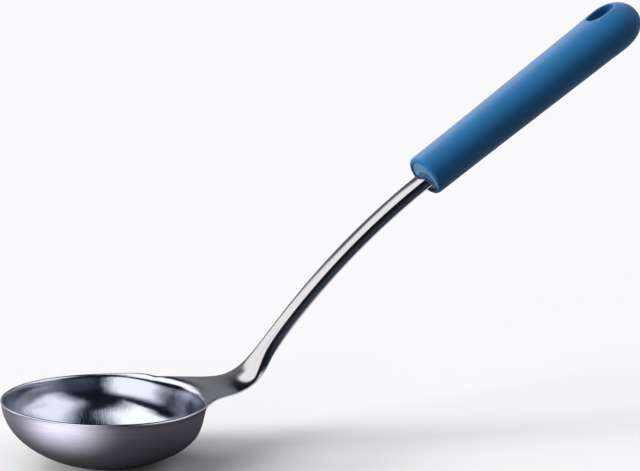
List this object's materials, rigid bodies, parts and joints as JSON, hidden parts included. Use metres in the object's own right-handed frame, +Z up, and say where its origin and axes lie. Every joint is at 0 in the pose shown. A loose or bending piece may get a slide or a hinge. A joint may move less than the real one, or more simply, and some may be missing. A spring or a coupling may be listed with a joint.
{
  "type": "ladle",
  "caption": "Soup ladle: a round pressed-steel bowl on a curved channel stem, with a tapered blue grip that ends in a hanging slot.",
  "frame": {"origin": "centre of the flat foot under the bowl", "axes": "+Z up with the rim level, +X from the bowl toward the grip, the ladle symmetric about the XZ plane"},
  "size_m": [0.3019, 0.085, 0.184],
  "materials": {
    "steel": "satin bowl, polished neck and stem",
    "core_plastic": "plain moulded, light blue",
    "grip_rubber": "matte soft-touch, mid blue"
  },
  "bodies": {
    "root": {"steel_pressing": "steel", "handle_core": "core_plastic", "grip_sleeve": "grip_rubber"}
  },
  "joints": []
}
